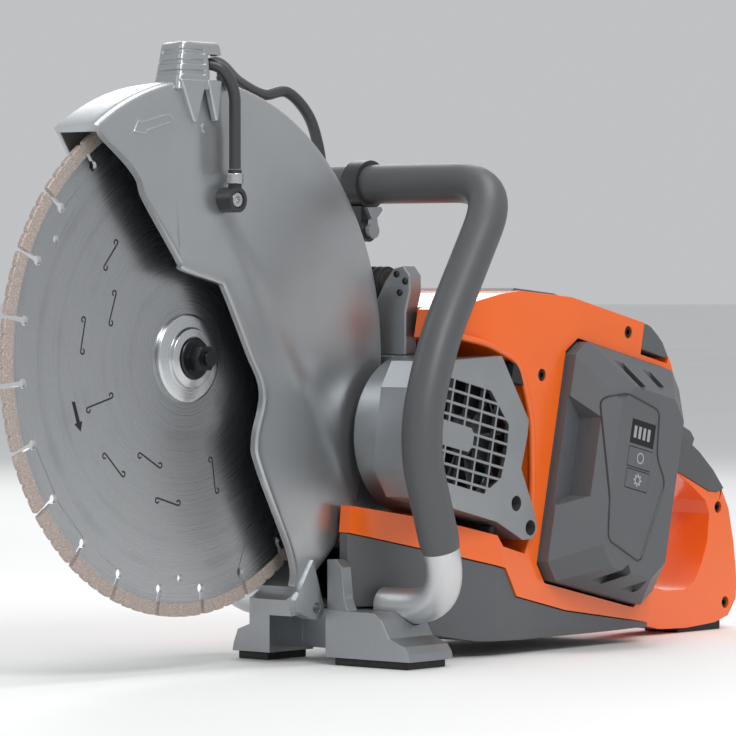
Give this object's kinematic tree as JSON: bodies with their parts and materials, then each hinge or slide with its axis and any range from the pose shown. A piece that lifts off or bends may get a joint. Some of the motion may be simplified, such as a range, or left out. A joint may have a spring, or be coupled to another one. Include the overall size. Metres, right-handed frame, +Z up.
{
  "type": "concrete cut-off saw",
  "caption": "Battery-powered hand-held cut-off saw with a segmented blade on a belt-driven arm, a turning guard, tubular front handle and D-shaped rear handle.",
  "frame": {"origin": "on the ground under the middle of the saw as it stands on its front soles and rear foot", "axes": "+X runs rearward from the blade to the rear handle, +Y to the machine's right, +Z up"},
  "size_m": [0.7468, 0.2332, 0.4275],
  "materials": {
    "guard_paint": "satin light grey paint on a cast magnesium guard",
    "cast_alu": "fine blasted die casting, satin",
    "tube_alu": "bright brushed tube",
    "steel_blade": "circumferentially ground steel",
    "diamond_segment": "sintered metal with diamond grit, rough",
    "steel": "turned steel",
    "black_steel": "black oxide",
    "orange_shell": "glossy orange moulded nylon",
    "grey_plastic": "dark grey moulded nylon, fine texture",
    "dark_plastic": "near-black moulded plastic",
    "grip": "grey soft-touch grip",
    "rubber": "black rubber",
    "hose_rubber": "smooth dark grey hose",
    "brass": "plain",
    "copper_winding": "enamelled copper winding",
    "cell_wrap": "shrink-wrapped cell",
    "screen": "gloss black window"
  },
  "bodies": {
    "chassis": {"base_tray": "grey_plastic", "frame_left": "orange_shell", "frame_right": "orange_shell", "top_strip": "grey_plastic", "battery_bay": "dark_plastic", "bay_terminals": "brass", "controller": "cast_alu", "wiring": "rubber", "front_foot": "cast_alu", "front_foot_pads": "rubber", "handle_tube": "tube_alu", "handle_sleeve": "grip", "rear_handle_left": "orange_shell", "rear_handle_right": "orange_shell", "handle_insert": "grip", "rear_foot_pad": "rubber", "case_screws": "black_steel", "motor_housing": "cast_alu", "fan_grille": "cast_alu", "stator": "copper_winding", "rubber_dampers": "rubber", "drive_arm": "cast_alu", "belt_cover": "grey_plastic", "drive_belt": "rubber", "bearings": "steel", "ear_bracket": "cast_alu", "tap_body": "dark_plastic", "trigger_switch": "dark_plastic", "handle_pins": "steel", "handle_springs": "steel", "supply_hose": "hose_rubber"},
    "blade_set": {"spindle": "steel", "driven_pulley": "cast_alu", "blade_flanges": "steel", "blade_core": "steel_blade", "blade_segments": "diamond_segment", "spindle_bolt": "black_steel"},
    "rotor_set": {"motor_shaft": "steel", "rotor": "steel", "cooling_fan": "dark_plastic", "drive_pulley": "cast_alu"},
    "guard": {"guard_rim": "guard_paint", "guard_left_wall": "guard_paint", "guard_right_wall": "guard_paint", "guard_tail": "guard_paint", "guard_hood": "guard_paint", "water_fittings": "dark_plastic", "nozzle_screws": "steel", "hose_clamps": "steel", "guard_hoses": "hose_rubber"},
    "tap_lever": {"tap_lever": "cast_alu"},
    "trigger": {"trigger": "dark_plastic"},
    "lockout": {"lockout_lever": "grey_plastic"},
    "battery": {"battery_case": "grey_plastic", "battery_cover": "grey_plastic", "battery_screen": "screen", "cell_pack": "cell_wrap"},
    "latch": {"battery_latch": "grey_plastic"},
    "power_key": {"power_button": "grey_plastic"},
    "mode_key": {"mode_button": "grey_plastic"}
  },
  "joints": [
    {"name": "guard_turn", "type": "hinge", "parent": "chassis", "child": "guard", "pos_m": [-0.19792, 0.01, 0.214], "axis": [0, -1, 0], "range_deg": [0, 30], "deforming": ["supply_hose"]},
    {"name": "blade_spin", "type": "hinge", "parent": "chassis", "child": "blade_set", "pos_m": [-0.19792, 0.01, 0.214], "axis": [0, -1, 0], "continuous": true},
    {"name": "motor_spin", "type": "hinge", "parent": "chassis", "child": "rotor_set", "pos_m": [0.00242, 0.01, 0.15806], "axis": [0, -1, 0], "continuous": true},
    {"name": "tap_turn", "type": "hinge", "parent": "chassis", "child": "tap_lever", "pos_m": [0.01008, 0.0205, 0.302], "axis": [0, 1, 0], "range_deg": [0, 90]},
    {"name": "trigger_squeeze", "type": "hinge", "parent": "chassis", "child": "trigger", "pos_m": [0.27915, -0.018, 0.13896], "axis": [0, -1, 0], "range_deg": [0, 12], "stiffness_Nm_per_rad": 0.8, "springref_deg": -17.19},
    {"name": "lockout_press", "type": "hinge", "parent": "chassis", "child": "lockout", "pos_m": [0.28044, -0.018, 0.15404], "axis": [0, 1, 0], "range_deg": [0, 8], "stiffness_Nm_per_rad": 0.6, "springref_deg": -17.19},
    {"name": "battery_slide", "type": "slide", "parent": "chassis", "child": "battery", "axis": [0, -1, 0], "range_m": [0, 0.12]},
    {"name": "latch_press", "type": "slide", "parent": "chassis", "child": "latch", "axis": [-0.2164, 0, -0.9763], "range_m": [0, 0.003], "stiffness_N_per_m": 1500, "springref_m": -0.003},
    {"name": "power_press", "type": "slide", "parent": "battery", "child": "power_key", "axis": [0, 1, 0], "range_m": [0, 0.0012], "stiffness_N_per_m": 700, "springref_m": -0.001},
    {"name": "mode_press", "type": "slide", "parent": "battery", "child": "mode_key", "axis": [0, 1, 0], "range_m": [0, 0.0012], "stiffness_N_per_m": 700, "springref_m": -0.001}
  ],
  "couplings": [
    {"joint": "motor_spin", "follows": "blade_spin", "ratio": 1.75}
  ]
}
